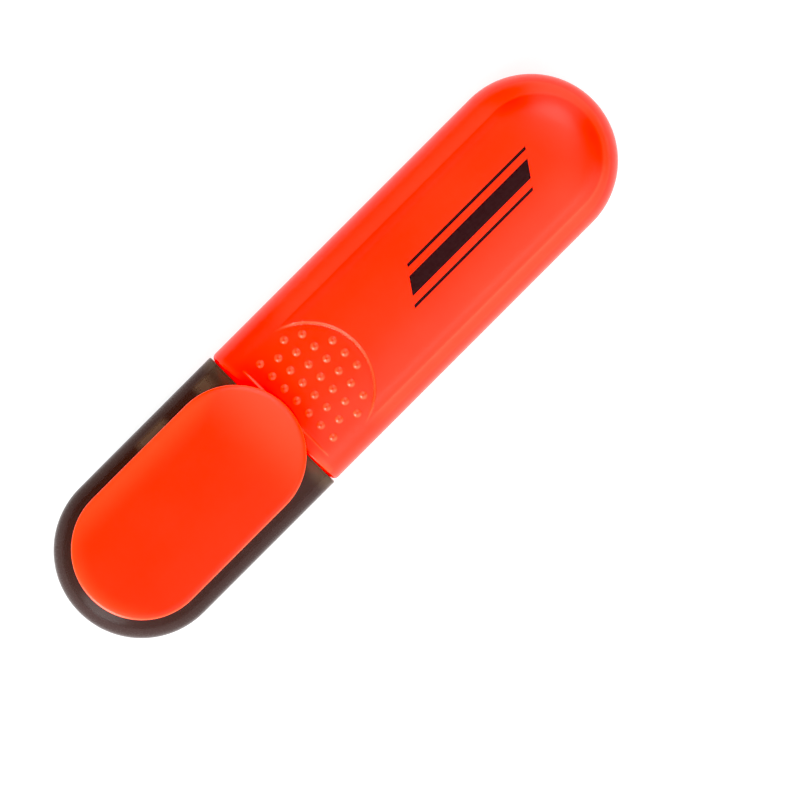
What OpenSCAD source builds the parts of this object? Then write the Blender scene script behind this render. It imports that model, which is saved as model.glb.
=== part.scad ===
// Capped highlighter pen with a flat, round-ended barrel.
// X runs along the pen from the cap's closed end to the barrel's closed end,
// Y across it and Z up from the flat back. Millimetres.

/* [Overall] */
// Length with the cap on
total_length = 113.4; // [110:0.2:118]
// Width of the barrel
barrel_width = 27.2; // [27:0.1:27.6]
// Height of the barrel from its flat back to its crown, without the raised panel
barrel_height = 14.6; // [14.4:0.1:15]
// How square the crowned faces are: 2 is an ellipse
squareness = 2.7; // [2.4:0.1:3]

/* [Barrel] */
// Length of the barrel shell
barrel_length = 70.6; // [68:0.2:74]
// Wall of the barrel
barrel_wall = 1.8; // [1.7:0.05:1.9]
// Half width of the raised panel on the printed face
panel_half_width = 10.05; // [9.5:0.05:10.2]
// Height of the raised panel above the crown
panel_rise = 0.45; // [0.3:0.05:0.6]
// How far the panel and the thumb rest sit off the pen's centre line
face_shift = -0.65; // [-0.8:0.05:0]
// Radius of the thumb rest
thumb_radius = 10.47; // [10.4:0.01:10.8]
// Distance of the thumb rest's centre behind the mouth
thumb_setback = 7.16; // [7:0.02:7.6]
// Spacing of the columns of grip dots along the pen
dot_column_pitch = 2.65; // [2.5:0.01:2.8]
// Spacing of the rows of grip dots across the pen
dot_row_pitch = 2.69; // [2.5:0.01:2.7]
// Height of a grip dot
dot_rise = 0.35; // [0.2:0.05:0.45]

/* [Front section] */
// Length of the straight nozzle
nozzle_length = 5.5; // [5:0.1:6]
// Radius of the nozzle
nozzle_radius = 4.05; // [4:0.05:4.1]
// Length of the flare between the collar and the nozzle
flare_length = 14.05; // [13:0.05:15]
// Depth of the collar that the cap closes over
collar_depth = 0.94; // [0.8:0.02:1.2]

/* [Nib] */
// Width of the chisel nib
nib_width = 5.5; // [5:0.1:5.6]
// Thickness of the nib
nib_thickness = 3.6; // [3.2:0.1:3.8]
// How far the nib stands out of the nozzle
nib_reach = 7.5; // [6.5:0.1:8.5]

/* [Ink reservoir] */
// Diameter of the fibre core
core_diameter = 9.3; // [8.8:0.1:9.3]
// Length of the fibre core
core_length = 54; // [50:0.5:55]
// Thickness of the film round the core
film_thickness = 0.15; // [0.1:0.05:0.15]

/* [Cap] */
// Width of the cap
cap_width = 27.5; // [27.2:0.1:27.6]
// Side wall of the cap
cap_wall = 1.5; // [1.4:0.05:1.55]
// Gap between the closed cap and the barrel
cap_gap = 0.15; // [0.1:0.05:0.3]

/* [Clip] */
// Length of the clip
clip_length = 42.65; // [42:0.05:43]
// Width of the clip
clip_width = 22; // [21:0.1:22.6]
// Thickness of the clip's blade
clip_thickness = 1.4; // [1.2:0.05:1.5]
// Gap under the blade for a pocket edge
clip_gap = 1.25; // [1.1:0.05:1.4]

/* [Hidden] */
$fn = 96;

signal_orange = [1, 0.23, 0.05];
clear_orange = [1, 0.48, 0.2];
smoke = [0.27, 0.22, 0.21];

// Shared section: a crowned face above the widest line, a flatter one below it that is cut off at the back.
mid_z = barrel_height / 2;
crown = barrel_height / 2;
back_squareness = 3;
back_overshoot = 0.4;
section_steps = 14;

rear_x = total_length / 2;
mouth_x = rear_x - barrel_length;
barrel_half = barrel_width / 2;
rear_centre_x = rear_x - barrel_half;

cavity_half = barrel_half - barrel_wall;
cavity_crown = crown - 1.6;
back_wall = 1.6;
rim_drop = 0.5;
rim_length = 1.9;
rim_corner = 1.2;
rim_corner_length = 0.7;

thumb_x = mouth_x + thumb_setback;
panel_shift = 0.94;
panel_centre_x = rear_centre_x + panel_shift;
panel_blend = 2.5;
panel_lip = 0.1;
panel_front_x = thumb_x + sqrt(pow(thumb_radius, 2) - pow(panel_half_width, 2)) - 0.1;

first_dot_x = mouth_x + 4.62;
dot_radius = 0.68;
dot_seam_turn = 40;
dot_sphere = (pow(dot_radius, 2) + pow(dot_rise, 2)) / (2 * dot_rise);
dots_per_column = [7, 6, 7, 6, 3];

rib_thickness = 1.2;
core_radius = core_diameter / 2;
film_radius = core_radius + film_thickness;
core_start_x = mouth_x + 5.6;
core_end_x = core_start_x + core_length;
rear_rib_length = 9;
rear_seat_play = 0.15;

collar_half = cap_width / 2 - cap_wall - 0.25;
collar_crown = crown - 1.5;
plug_play = 0.05;
plug_depth = 8;
plug_wall = 1.2;
sleeve_end_x = mouth_x + 24.7;
sleeve_radius = film_radius + 0.6;
sleeve_play = 0.08;
collar_x = mouth_x - collar_depth;
flare_x = collar_x - flare_length;
nozzle_x = flare_x - nozzle_length;
flare_wall = 1.1;
flare_depth = 11;
flare_points = 32;
flare_steps = 11;
flare_start_radius = nozzle_radius + 0.12;
flare_end_half = collar_half - 0.2;
flare_end_crown = collar_crown - 0.3;
collar_rim = 0.9;
flare_curve = 0.9375;
flare_rise = 1 - sqrt(1 - pow(flare_curve, 2));
bulkhead = 1.4;
channel_play = 0.06;
channel_wall = 0.8;
channel_tail = 3.5;
web_thickness = 0.7;
web_length = 7.2;
web_angle = 27;

nib_x = nozzle_x - nib_reach;
nib_lean = 1.55;
nib_edge_half = 2.05;
nib_facet = 4.2;
nib_edge = 0.9;
nib_tail_x = core_start_x + 6;
nib_tail_length = 7;
nib_tail_half = 1.3;
nib_pocket_play = 0.1;

cap_half = cap_width / 2;
cap_end_x = -total_length / 2;
cap_mouth_x = mouth_x - cap_gap;
cap_centre_x = cap_end_x + cap_half;
cap_inner_half = cap_half - cap_wall;
cap_inner_crown = crown - 1.3;
cap_back_wall = 1.3;
guide_rib_x = cap_mouth_x - 11.1;
guide_rib_length = 5.5;
guide_rib_reach = 3.4;
guide_rib_thickness = 1.2;

liner_play = 0.1;
liner_wall = 0.8;
liner_end_x = cap_mouth_x - 18.15;
seal_play = 0.07;
seal_radius = nozzle_radius + seal_play;
seal_wall = 1.2;
seal_end_x = flare_x - 0.25;

clip_half = clip_width / 2;
clip_x = cap_end_x + 3.1;
clip_tip_x = clip_x + clip_length;
clip_under_z = barrel_height + clip_gap;
clip_top_z = clip_under_z + clip_thickness;
clip_flex_x = clip_x + 13.5;
clip_droop = 0.75;
clip_droop_length = 10;
clip_droop_steps = 8;
clip_edge = 0.5;
clip_split = 0.02;
clip_foot_inset = 1.1;
clip_foot_drop = 4.2;
peg_radius = 1.2;
peg_play = 0.05;
peg_length = 3.2;
peg_spacing = 6;
peg_x = clip_x + 7.5;

big = 60;

// One face of the section as points [distance from the spine, height above the widest line].
function face(half, rise, power) =
    [for (i = [0 : section_steps])
        let (t = 90 * i / section_steps)
        [half * pow(sin(t), 2 / power), rise * pow(cos(t), 2 / power)]];

function height_at(d, half, rise) =
    rise * pow(max(0, 1 - pow(abs(d) / half, squareness)), 1 / squareness);

// Half of the section, from the crown round the widest line to the back.
function half_section(half, rise, back_z) =
    let (upper = face(half, rise, squareness),
         lower = face(half, mid_z - back_z + back_overshoot, back_squareness))
    concat(
        [for (p = upper) [p[0], mid_z + p[1]]],
        [for (i = [section_steps - 1 : -1 : 0]) [lower[i][0], max(back_z, mid_z - lower[i][1])]]
    );

function mirrored(points) =
    concat(points, [for (i = [len(points) - 2 : -1 : 1]) [-points[i][0], points[i][1]]]);

// A solid of constant section along X between two places.
module along_x(x1, x2) {
    translate([x1, 0, 0])
        rotate([90, 0, 90])
            linear_extrude(x2 - x1) children();
}

// The round-ended form that the barrel, the cap and their hollows share.
// facing is 1 for a round end towards +X and -1 for one towards -X.
module round_ended(points, centre_x, open_x, facing) {
    along_x(min(centre_x, open_x), max(centre_x, open_x)) polygon(mirrored(points));
    translate([centre_x, 0, 0])
        rotate([0, 0, -90 * facing])
            rotate_extrude(angle = 180) polygon(points);
}

// Chamfers the mouth: a plan outline and a side outline that the shell is cut to.
module mouth_chamfer() {
    intersection() {
        linear_extrude(big)
            polygon([
                [mouth_x, -barrel_half + rim_corner],
                [mouth_x + rim_corner_length, -barrel_half],
                [rear_x + 1, -barrel_half - 0.01],
                [rear_x + 1, barrel_half + 0.01],
                [mouth_x + rim_corner_length, barrel_half],
                [mouth_x, barrel_half - rim_corner]
            ]);
        rotate([90, 0, 0])
            linear_extrude(big, center = true)
                polygon([
                    [mouth_x, rim_drop],
                    [mouth_x + rim_length, 0],
                    [rear_x + 1, 0],
                    [rear_x + 1, barrel_height + 2],
                    [mouth_x + rim_length, barrel_height + 2],
                    [mouth_x + rim_length, barrel_height],
                    [mouth_x, barrel_height - rim_drop]
                ]);
    }
}

// The raised panel's half section: the crown lifted by a rounded bump that ends at the crease.
function panel_section() =
    concat(
        [for (i = [0 : section_steps])
            let (d = panel_half_width * i / section_steps,
                 t = min(1, (panel_half_width - d) / panel_blend))
            [d, mid_z + height_at(d, barrel_half, crown) + panel_lip
                + (panel_rise - panel_lip) * sqrt(1 - pow(1 - t, 2))]],
        [[panel_half_width, mid_z], [0, mid_z]]
    );

module panel() {
    translate([0, face_shift, 0])
        difference() {
            round_ended(panel_section(), panel_centre_x, panel_front_x, 1);
            translate([thumb_x, 0, 0]) cylinder(h = big, r = thumb_radius);
        }
}

module grip_dots() {
    for (column = [0 : len(dots_per_column) - 1])
        for (row = [0 : dots_per_column[column] - 1]) {
            x = first_dot_x + column * dot_column_pitch;
            y = face_shift + (row - (dots_per_column[column] - 1) / 2) * dot_row_pitch;
            z = mid_z + height_at(y, barrel_half, crown);
            translate([x, y, z + dot_rise - dot_sphere])
                rotate([90, 0, dot_seam_turn]) sphere(dot_sphere);
        }
}

// Cross ribs at the closed end, bored to seat the reservoir.
module rear_ribs() {
    difference() {
        intersection() {
            round_ended(half_section(barrel_half - 0.6, crown - 0.6, 0.6), rear_centre_x, mouth_x, 1);
            translate([core_end_x - rear_rib_length, 0, 0])
                union() {
                    translate([0, -rib_thickness / 2, 0]) cube([big, rib_thickness, big]);
                    translate([0, -big / 2, mid_z - rib_thickness / 2]) cube([big, big, rib_thickness]);
                }
        }
        translate([0, 0, mid_z])
            rotate([0, 90, 0]) cylinder(h = core_end_x + 0.2, r = film_radius + rear_seat_play);
    }
}

module barrel() {
    color(signal_orange) {
        difference() {
            union() {
                intersection() {
                    round_ended(half_section(barrel_half, crown, 0), rear_centre_x, mouth_x, 1);
                    mouth_chamfer();
                }
                panel();
                grip_dots();
            }
            round_ended(half_section(cavity_half, cavity_crown, back_wall), rear_centre_x, mouth_x - 1, 1);
        }
        rear_ribs();
    }
}

// One ring of the flare at a share t of its length: a circle at the nozzle that widens into the collar's section.
function flare_ring(t, inset) =
    let (rise = (1 - sqrt(1 - pow(flare_curve * min(1, t), 2))) / flare_rise,
         half = flare_start_radius + (flare_end_half - flare_start_radius) * rise - inset,
         tall = flare_start_radius + (flare_end_crown - flare_start_radius) * rise - inset,
         power = 2 + (squareness - 2) * min(1, t),
         x = flare_x + flare_length * t)
    [for (i = [0 : flare_points - 1])
        let (a = 360 * i / flare_points, c = cos(a), s = sin(a))
        [x, half * sign(c) * pow(abs(c), 2 / power), mid_z + tall * sign(s) * pow(abs(s), 2 / power)]];

// The hollow flare as one closed cup: out along the outside, back along the inside.
module flare() {
    reach = 1 + 0.4 * collar_depth / flare_length;
    hollow_start = 1 - flare_depth / flare_length;
    outside = [for (i = [0 : flare_steps]) flare_ring(reach * i / flare_steps, 0)];
    inside = [for (i = [flare_steps : -1 : 0])
        flare_ring(hollow_start + (reach - hollow_start) * i / flare_steps, flare_wall)];
    rings = concat(outside, inside);
    last = len(rings) - 1;
    polyhedron(
        points = [for (ring = rings) for (p = ring) p],
        faces = concat(
            [[for (i = [0 : flare_points - 1]) i]],
            [for (r = [0 : last - 1]) for (i = [0 : flare_points - 1])
                let (j = (i + 1) % flare_points, a = r * flare_points, b = (r + 1) * flare_points)
                each [[a + i, b + j, a + j], [a + i, b + i, b + j]]],
            [[for (i = [flare_points - 1 : -1 : 0]) last * flare_points + i]]
        ),
        convexity = 6
    );
}

module nib_channel(half_w, half_t, x1, x2) {
    translate([x1, -half_w, mid_z - half_t]) cube([x2 - x1, 2 * half_w, 2 * half_t]);
}

// Four webs from the nib channel to the flare's corners.
module flare_webs() {
    for (side = [-1, 1]) for (face_side = [-1, 1])
        translate([collar_x - web_length, side * (nib_width / 2 + 0.5), mid_z])
            rotate([0, 0, side * web_angle])
                translate([0, -web_thickness / 2, face_side > 0 ? 0 : -(collar_crown - 1.4)])
                    cube([(web_length + 0.5) / cos(web_angle), web_thickness, collar_crown - 1.4]);
}

// The plate that the cap closes over and the plug behind it, open inside like the flare.
module collar_and_plug() {
    difference() {
        union() {
            along_x(collar_x, mouth_x)
                polygon(mirrored(half_section(collar_half, collar_crown, mid_z - collar_crown)));
            along_x(mouth_x - 0.2, mouth_x + plug_depth)
                polygon(mirrored(half_section(cavity_half - plug_play, cavity_crown - plug_play,
                    back_wall + plug_play)));
        }
        along_x(collar_x + bulkhead, mouth_x + plug_depth + 1)
            polygon(mirrored(half_section(cavity_half - plug_wall, cavity_crown - plug_wall,
                back_wall + plug_wall)));
        along_x(collar_x - 1, mouth_x + 1)
            polygon(mirrored(half_section(collar_half - collar_rim, collar_crown - collar_rim,
                mid_z - collar_crown + collar_rim)));
    }
}

module front_section() {
    color(clear_orange)
    difference() {
        union() {
            translate([nozzle_x, 0, mid_z])
                rotate([0, 90, 0]) cylinder(h = nozzle_length + 0.3, r = nozzle_radius);
            flare();
            collar_and_plug();
            intersection() {
                flare_webs();
                along_x(collar_x - flare_depth, collar_x + 0.7)
                    polygon(mirrored(half_section(collar_half - 1, collar_crown - 1, mid_z - collar_crown + 1)));
            }
            translate([mouth_x - 0.2, 0, mid_z])
                rotate([0, 90, 0]) cylinder(h = sleeve_end_x - mouth_x + 0.2, r = sleeve_radius);
            nib_channel(nib_width / 2 + channel_wall, nib_thickness / 2 + channel_wall,
                flare_x + 1, core_start_x - 1);
        }
        translate([collar_x + bulkhead, 0, mid_z])
            rotate([0, 90, 0])
                difference() {
                    cylinder(h = big, r = film_radius + sleeve_play);
                    translate([-nib_thickness / 2 - channel_wall, -nib_width / 2 - channel_wall, -1])
                        cube([nib_thickness + 2 * channel_wall, nib_width + 2 * channel_wall, channel_tail + 1]);
                }
        nib_channel(nib_width / 2 + channel_play, nib_thickness / 2 + channel_play,
            nozzle_x - 1, core_start_x);
    }
}

// The nib seen from above: a slanted edge with a long chamfer on one side and a short one on the other.
module nib_plan() {
    half = nib_width / 2;
    linear_extrude(big, center = true)
        polygon([
            [nib_x, nib_edge_half - 0.25],
            [nib_x + 1.2, half - 0.45],
            [nib_x + 2.8, half],
            [nib_tail_x - nib_tail_length, half],
            [nib_tail_x, nib_tail_half],
            [nib_tail_x, -nib_tail_half],
            [nib_tail_x - nib_tail_length, -half],
            [nib_x + 3.1, -half],
            [nib_x + nib_lean, -nib_edge_half - 0.2]
        ]);
}

// The nib seen from the side: a long facet above and a short one below the writing edge.
module nib_side() {
    half = nib_thickness / 2;
    rotate([90, 0, 0])
        linear_extrude(big, center = true)
            polygon([
                [nib_x, -half + 0.5 + nib_edge],
                [nib_x + nib_facet, half],
                [nib_tail_x - nib_tail_length, half],
                [nib_tail_x, nib_tail_half],
                [nib_tail_x, -nib_tail_half],
                [nib_tail_x - nib_tail_length, -half],
                [nib_x + 1.4, -half],
                [nib_x, -half + 0.5]
            ]);
}

module nib() {
    color("orangered")
        translate([0, 0, mid_z])
            intersection() {
                nib_plan();
                nib_side();
            }
}

module ink_core() {
    pocket_half = nib_width / 2 + nib_pocket_play;
    pocket_tall = nib_thickness / 2 + nib_pocket_play;
    color("tomato")
        difference() {
            translate([core_start_x, 0, mid_z])
                rotate([0, 90, 0]) cylinder(h = core_length, r = core_radius);
            translate([core_start_x - 1, -pocket_half, mid_z - pocket_tall])
                cube([nib_tail_x - core_start_x + 1 + nib_pocket_play, 2 * pocket_half, 2 * pocket_tall]);
        }
}

module core_film() {
    color("gold")
        translate([core_start_x, 0, mid_z])
            rotate([0, 90, 0])
                difference() {
                    cylinder(h = core_length, r = film_radius);
                    translate([0, 0, -1]) cylinder(h = core_length + 2, r = core_radius + 0.02);
                }
}

module clip_pegs(radius, length) {
    for (side = [-1, 1])
        translate([peg_x, side * peg_spacing, barrel_height - length]) cylinder(h = length + 0.5, r = radius);
}

module cap_shell() {
    color(smoke) {
        difference() {
            round_ended(half_section(cap_half, crown, 0), cap_centre_x, cap_mouth_x, -1);
            round_ended(half_section(cap_inner_half, cap_inner_crown, cap_back_wall),
                cap_centre_x, cap_mouth_x + 1, -1);
            clip_pegs(peg_radius + peg_play, peg_length);
        }
        for (side = [-1, 1])
            translate([guide_rib_x, side * (cap_inner_half + 0.2) - (side > 0 ? guide_rib_reach : 0),
                mid_z - guide_rib_thickness / 2])
                cube([guide_rib_length, guide_rib_reach, guide_rib_thickness]);
    }
}

// The liner's outer form, or its hollow when it is inset by the wall.
module liner_form(inset, open_x) {
    play = liner_play + inset;
    round_ended(half_section(cap_inner_half - play, cap_inner_crown - play, cap_back_wall + play),
        cap_centre_x, open_x, -1);
}

module seal_tube(radius) {
    translate([cap_end_x, 0, mid_z])
        rotate([0, 90, 0]) cylinder(h = seal_end_x - cap_end_x, r = radius);
}

// A cup that lines the closed half of the cap, with a sealing tube for the nozzle.
module inner_cap() {
    color("dimgray")
        difference() {
            union() {
                difference() {
                    liner_form(0, liner_end_x);
                    liner_form(liner_wall, liner_end_x + 1);
                }
                intersection() {
                    seal_tube(seal_radius + seal_wall);
                    liner_form(liner_wall / 2, seal_end_x);
                }
            }
            intersection() {
                seal_tube(seal_radius);
                liner_form(liner_wall, seal_end_x + 1);
            }
            clip_pegs(peg_radius + 0.3, peg_length + 1);
        }
}

module clip_plan(x1, x2) {
    linear_extrude(big)
        intersection() {
            union() {
                translate([clip_x + clip_half, 0]) circle(clip_half);
                translate([clip_x + clip_half, -clip_half]) square([clip_length - clip_width, clip_width]);
                translate([clip_tip_x - clip_half, 0]) circle(clip_half);
            }
            translate([x1, -big / 2]) square([x2 - x1, big]);
        }
}

// How far the blade has dropped at a share t of its curved end.
function droop(t) = clip_droop * pow(t, 2);

// The blade from the side, falling towards the barrel at its tip.
module blade_side() {
    start_x = clip_tip_x - clip_droop_length;
    rotate([90, 0, 0])
        linear_extrude(big, center = true)
            polygon(concat(
                [[clip_flex_x + clip_split, clip_under_z], [clip_flex_x + clip_split, clip_top_z]],
                [for (i = [0 : clip_droop_steps])
                    let (t = i / clip_droop_steps)
                    [start_x + clip_droop_length * t, clip_top_z - droop(t)]],
                [for (i = [clip_droop_steps : -1 : 0])
                    let (t = i / clip_droop_steps)
                    [start_x + clip_droop_length * t, clip_under_z - droop(t)]]
            ));
}

module clip_blade() {
    color(signal_orange)
        intersection() {
            clip_plan(clip_flex_x + clip_split, clip_tip_x + 1);
            blade_side();
        }
}

// The foot under the fixed end, set back from the plate's edge and hollowed to sit on the cap's crown.
module clip_foot() {
    foot_half = clip_half - clip_foot_inset;
    difference() {
        translate([0, 0, clip_under_z - clip_foot_drop])
            linear_extrude(clip_foot_drop + 0.1)
                intersection() {
                    translate([clip_x + clip_half, 0]) circle(foot_half);
                    translate([clip_x, -foot_half])
                        square([clip_flex_x - clip_foot_inset - clip_x, 2 * foot_half]);
                }
        round_ended(half_section(cap_half + 0.02, crown + 0.02, 0), cap_centre_x, cap_mouth_x, -1);
    }
}

// The fixed end of the clip: the plate up to the line where the blade springs, its foot and two pegs.
module clip_root() {
    color(signal_orange) {
        intersection() {
            clip_plan(clip_x - 1, clip_flex_x);
            translate([-big, -big / 2, clip_under_z]) cube([2 * big, big, clip_thickness]);
        }
        clip_foot();
        difference() {
            clip_pegs(peg_radius, peg_length - 0.1);
            translate([-big, -big / 2, barrel_height + 0.4]) cube([2 * big, big, 10]);
        }
    }
}

barrel();
front_section();
nib();
ink_core();
core_film();
cap_shell();
inner_cap();
clip_root();
clip_blade();
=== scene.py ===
"""A flat capped highlighter on a pale floor, seen from straight above."""
import math

import bmesh
import bpy
import numpy as np
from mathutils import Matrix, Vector, geometry


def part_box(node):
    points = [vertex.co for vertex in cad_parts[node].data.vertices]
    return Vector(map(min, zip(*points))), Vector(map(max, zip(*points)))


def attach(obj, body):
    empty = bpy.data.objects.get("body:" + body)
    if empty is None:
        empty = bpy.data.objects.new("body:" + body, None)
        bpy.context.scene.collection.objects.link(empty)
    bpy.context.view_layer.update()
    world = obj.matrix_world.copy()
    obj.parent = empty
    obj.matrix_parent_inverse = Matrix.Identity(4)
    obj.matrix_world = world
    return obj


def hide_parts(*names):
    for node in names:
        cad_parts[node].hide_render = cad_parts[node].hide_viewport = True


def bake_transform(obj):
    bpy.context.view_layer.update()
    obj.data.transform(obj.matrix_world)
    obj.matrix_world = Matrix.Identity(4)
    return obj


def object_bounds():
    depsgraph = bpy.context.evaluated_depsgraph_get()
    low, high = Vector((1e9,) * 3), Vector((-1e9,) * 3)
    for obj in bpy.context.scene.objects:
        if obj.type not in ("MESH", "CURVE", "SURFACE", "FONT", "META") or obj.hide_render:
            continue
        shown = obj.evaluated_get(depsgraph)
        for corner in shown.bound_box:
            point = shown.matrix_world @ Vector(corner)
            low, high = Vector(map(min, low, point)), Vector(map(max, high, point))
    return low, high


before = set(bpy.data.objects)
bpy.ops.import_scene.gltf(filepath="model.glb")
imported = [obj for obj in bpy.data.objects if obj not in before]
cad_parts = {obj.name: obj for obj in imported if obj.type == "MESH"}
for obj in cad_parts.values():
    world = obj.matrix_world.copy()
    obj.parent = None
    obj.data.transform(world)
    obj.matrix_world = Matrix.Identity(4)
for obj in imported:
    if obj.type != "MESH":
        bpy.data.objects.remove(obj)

cad_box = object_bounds()

# Shapes are worked out in millimetres, in the frame of the CAD model, and made in metres.
MM = 0.001


def box_mm(node):
    low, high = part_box(node)
    return np.array(low) / MM, np.array(high) / MM


BARREL_LOW, BARREL_HIGH = box_mm("barrel")
CAP_LOW, CAP_HIGH = box_mm("cap_shell")
FRONT_LOW, FRONT_HIGH = box_mm("front_section")
NIB_LOW, NIB_HIGH = box_mm("nib")
ROOT_LOW, ROOT_HIGH = box_mm("clip_root")
BLADE_HIGH = box_mm("clip_blade")[1]

# The section that the barrel and the cap share: a crowned face over a flatter one, cut off at the back.
CROWN = CAP_HIGH[2] / 2
MID_Z = CROWN
SQUARENESS = 2.7
BACK_SQUARENESS = 3.0
BACK_OVERSHOOT = 0.4

MOUTH_X = BARREL_LOW[0]
REAR_X = BARREL_HIGH[0]
BARREL_HALF = BARREL_HIGH[1]
REAR_CENTRE_X = REAR_X - BARREL_HALF
BARREL_WALL = 1.8
CAVITY_HALF = BARREL_HALF - BARREL_WALL
CAVITY_CROWN = CROWN - 1.6
# The lip stands forward of the CAD face so that only a hairline shows between it and the cap.
LIP_X = MOUTH_X - 0.12
LIP_LENGTH = 0.87
LIP_SIDE = 1.1
LIP_FACE = 0.4
LIP_STEPS = 8

# The panel and the thumb rest sit a little off the pen's centre line.
FACE_SHIFT = -0.65
PANEL_HALF = 10.05
PANEL_CENTRE_X = REAR_CENTRE_X + 0.94
PANEL_RISE = BARREL_HIGH[2] - 2 * CROWN
PANEL_BLEND_SIDE = 2.1
PANEL_BLEND_REAR = 4.4

THUMB_X = MOUTH_X + 7.16
THUMB_RADIUS = 10.47
DISH_DEPTH = 0.13
DISH_START_X = MOUTH_X + 2.0
DISH_HALF = 9.3
PANEL_FRONT_X = THUMB_X + math.sqrt(THUMB_RADIUS ** 2 - PANEL_HALF ** 2)

DOTS_PER_COLUMN = [7, 6, 7, 6, 3]
FIRST_DOT_X = MOUTH_X + 4.62
DOT_COLUMN_PITCH = 2.65
DOT_ROW_PITCH = 2.69
DOT_RADIUS = 0.70
DOT_TOP_RADIUS = 0.14
DOT_RISE = 0.26

CAP_HALF = CAP_HIGH[1]
CAP_CENTRE_X = CAP_LOW[0] + CAP_HALF
CAP_MOUTH_X = CAP_HIGH[0]
CAP_INNER_HALF = CAP_HALF - 1.5
CAP_INNER_CROWN = CROWN - 1.3
CAP_EDGE = 0.15
GUIDE_X = CAP_MOUTH_X - 11.1
GUIDE_LENGTH = 5.5
GUIDE_REACH = 3.4
GUIDE_THICKNESS = 1.2
# Where the painted pale patches over the guide and the rib behind the far side wall start and end along the
# cap.
PAINTED_LIGHT_PATCHES = ((-32.2, -25.6), (-19.6, -16.0))

CLIP_HALF = BLADE_HIGH[1]
CLIP_TOP = ROOT_HIGH[2]
CLIP_THICKNESS = 1.4
CLIP_START_X = ROOT_LOW[0]
CLIP_END_X = BLADE_HIGH[0]
CLIP_HINGE_X = ROOT_HIGH[0]
CLIP_DROOP = 0.95
CLIP_DROOP_LENGTH = 11.0
CLIP_PILLOW = 0.22
CLIP_ROLL = 1.1
CLIP_ROLL_DROP = 0.4
PEDESTAL_INSET = 1.1


# ---------------------------------------------------------------- mesh helpers

SHARP_ANGLE = 38


def smooth_faces(work, sharp_angle):
    """Smooth shading in a bmesh, with hard edges only where the surface turns by more than sharp_angle."""
    for face in work.faces:
        face.smooth = True
    for edge in work.edges:
        if len(edge.link_faces) == 2:
            edge.smooth = edge.calc_face_angle(0) < math.radians(sharp_angle)


class Shape:
    """Vertices in millimetres and faces, gathered from grids and loose triangles."""

    def __init__(self):
        self.points = []
        self.faces = []

    def grid(self, points, closed=False):
        """Quads over an array of rows by columns of points; closed joins the last column to the first."""
        rows, columns = points.shape[:2]
        start = len(self.points)
        self.points.extend(map(tuple, points.reshape(-1, 3)))
        for r in range(rows - 1):
            for c in range(columns if closed else columns - 1):
                n = (c + 1) % columns
                self.faces.append((start + r * columns + c, start + r * columns + n,
                                   start + (r + 1) * columns + n, start + (r + 1) * columns + c))

    def fan(self, ring, centre):
        """Triangles from a ring of points to its centre."""
        start = len(self.points)
        self.points.extend(map(tuple, ring))
        self.points.append(tuple(centre))
        count = len(ring)
        for i in range(count):
            self.faces.append((start + i, start + (i + 1) % count, start + count))

    def loose(self, points, faces):
        start = len(self.points)
        self.points.extend(map(tuple, points))
        self.faces.extend(tuple(start + i for i in face) for face in faces)

    def prism(self, near, far):
        """A closed solid between two matching outlines."""
        self.grid(np.array([near, far]), closed=True)
        self.loose(near, [tuple(range(len(near)))])
        self.loose(far, [tuple(range(len(far)))])

    def piece(self, name, material, body=None, sharp_angle=SHARP_ANGLE):
        """Makes the Blender object, with doubles merged, normals outwards and only hard edges sharp."""
        mesh = bpy.data.meshes.new(name)
        mesh.from_pydata([tuple(c * MM for c in p) for p in self.points], [], self.faces)
        work = bmesh.new()
        work.from_mesh(mesh)
        bmesh.ops.remove_doubles(work, verts=work.verts, dist=2e-4 * MM)
        bmesh.ops.dissolve_degenerate(work, edges=work.edges, dist=1e-4 * MM)
        bmesh.ops.recalc_face_normals(work, faces=work.faces)
        smooth_faces(work, sharp_angle)
        work.to_mesh(mesh)
        work.free()
        mesh.materials.append(material)
        made = bpy.data.objects.new(name, mesh)
        bpy.context.scene.collection.objects.link(made)
        if body:
            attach(made, body)
        return made


def smooth_step(value, low, high):
    t = np.clip((value - low) / (high - low), 0, 1)
    return t * t * (3 - 2 * t)


def resample(points, count):
    """The same open curve with a count of points at even distances."""
    length = np.concatenate([[0], np.cumsum(np.hypot(*np.diff(points, axis=0).T))])
    at = np.linspace(0, length[-1], count)
    return np.column_stack([np.interp(at, length, points[:, 0]), np.interp(at, length, points[:, 1])])


def face_curve(half, rise, power, count=600):
    """One face of the section, from its crown to the widest line, as [distance from the spine, height]."""
    t = np.linspace(0, math.pi / 2, count)
    return np.column_stack([half * np.sin(t) ** (2 / power), rise * np.cos(t) ** (2 / power)])


UPPER_ROWS = 30
LOWER_ROWS = 26
UPPER = resample(face_curve(1, 1, SQUARENESS), UPPER_ROWS)
lower_curve = face_curve(1, (CROWN + BACK_OVERSHOOT) / CROWN, BACK_SQUARENESS)[::-1]
LOWER = resample(np.column_stack([lower_curve[:, 0], np.maximum(-1, -lower_curve[:, 1])]), LOWER_ROWS)
# The half section at unit size, from the crown round the widest line to the back.
SECTION = np.vstack([UPPER, LOWER[1:]])


def section(half, rise):
    """The half section at a real size, as [distance from the spine, height above the floor]."""
    return SECTION * [half, rise] + [0, MID_Z]


def stations(open_x, centre_x, spacing, round_steps):
    """Places along the spine and the directions in which the section stands there: out along one side,
    round the closed end and back along the other, as [x on the spine, direction x, direction y]."""
    facing = math.copysign(1, centre_x - open_x)
    count = max(2, round(abs(centre_x - open_x) / spacing) + 1)
    straight = np.linspace(open_x, centre_x, count)
    angles = np.linspace(math.pi / 2, -math.pi / 2, round_steps + 1)[1:-1]
    out = [(x, 0, 1) for x in straight]
    out += [(centre_x, facing * math.cos(a), math.sin(a)) for a in angles]
    out += [(x, 0, -1) for x in straight[::-1]]
    return np.array(out)


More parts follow.
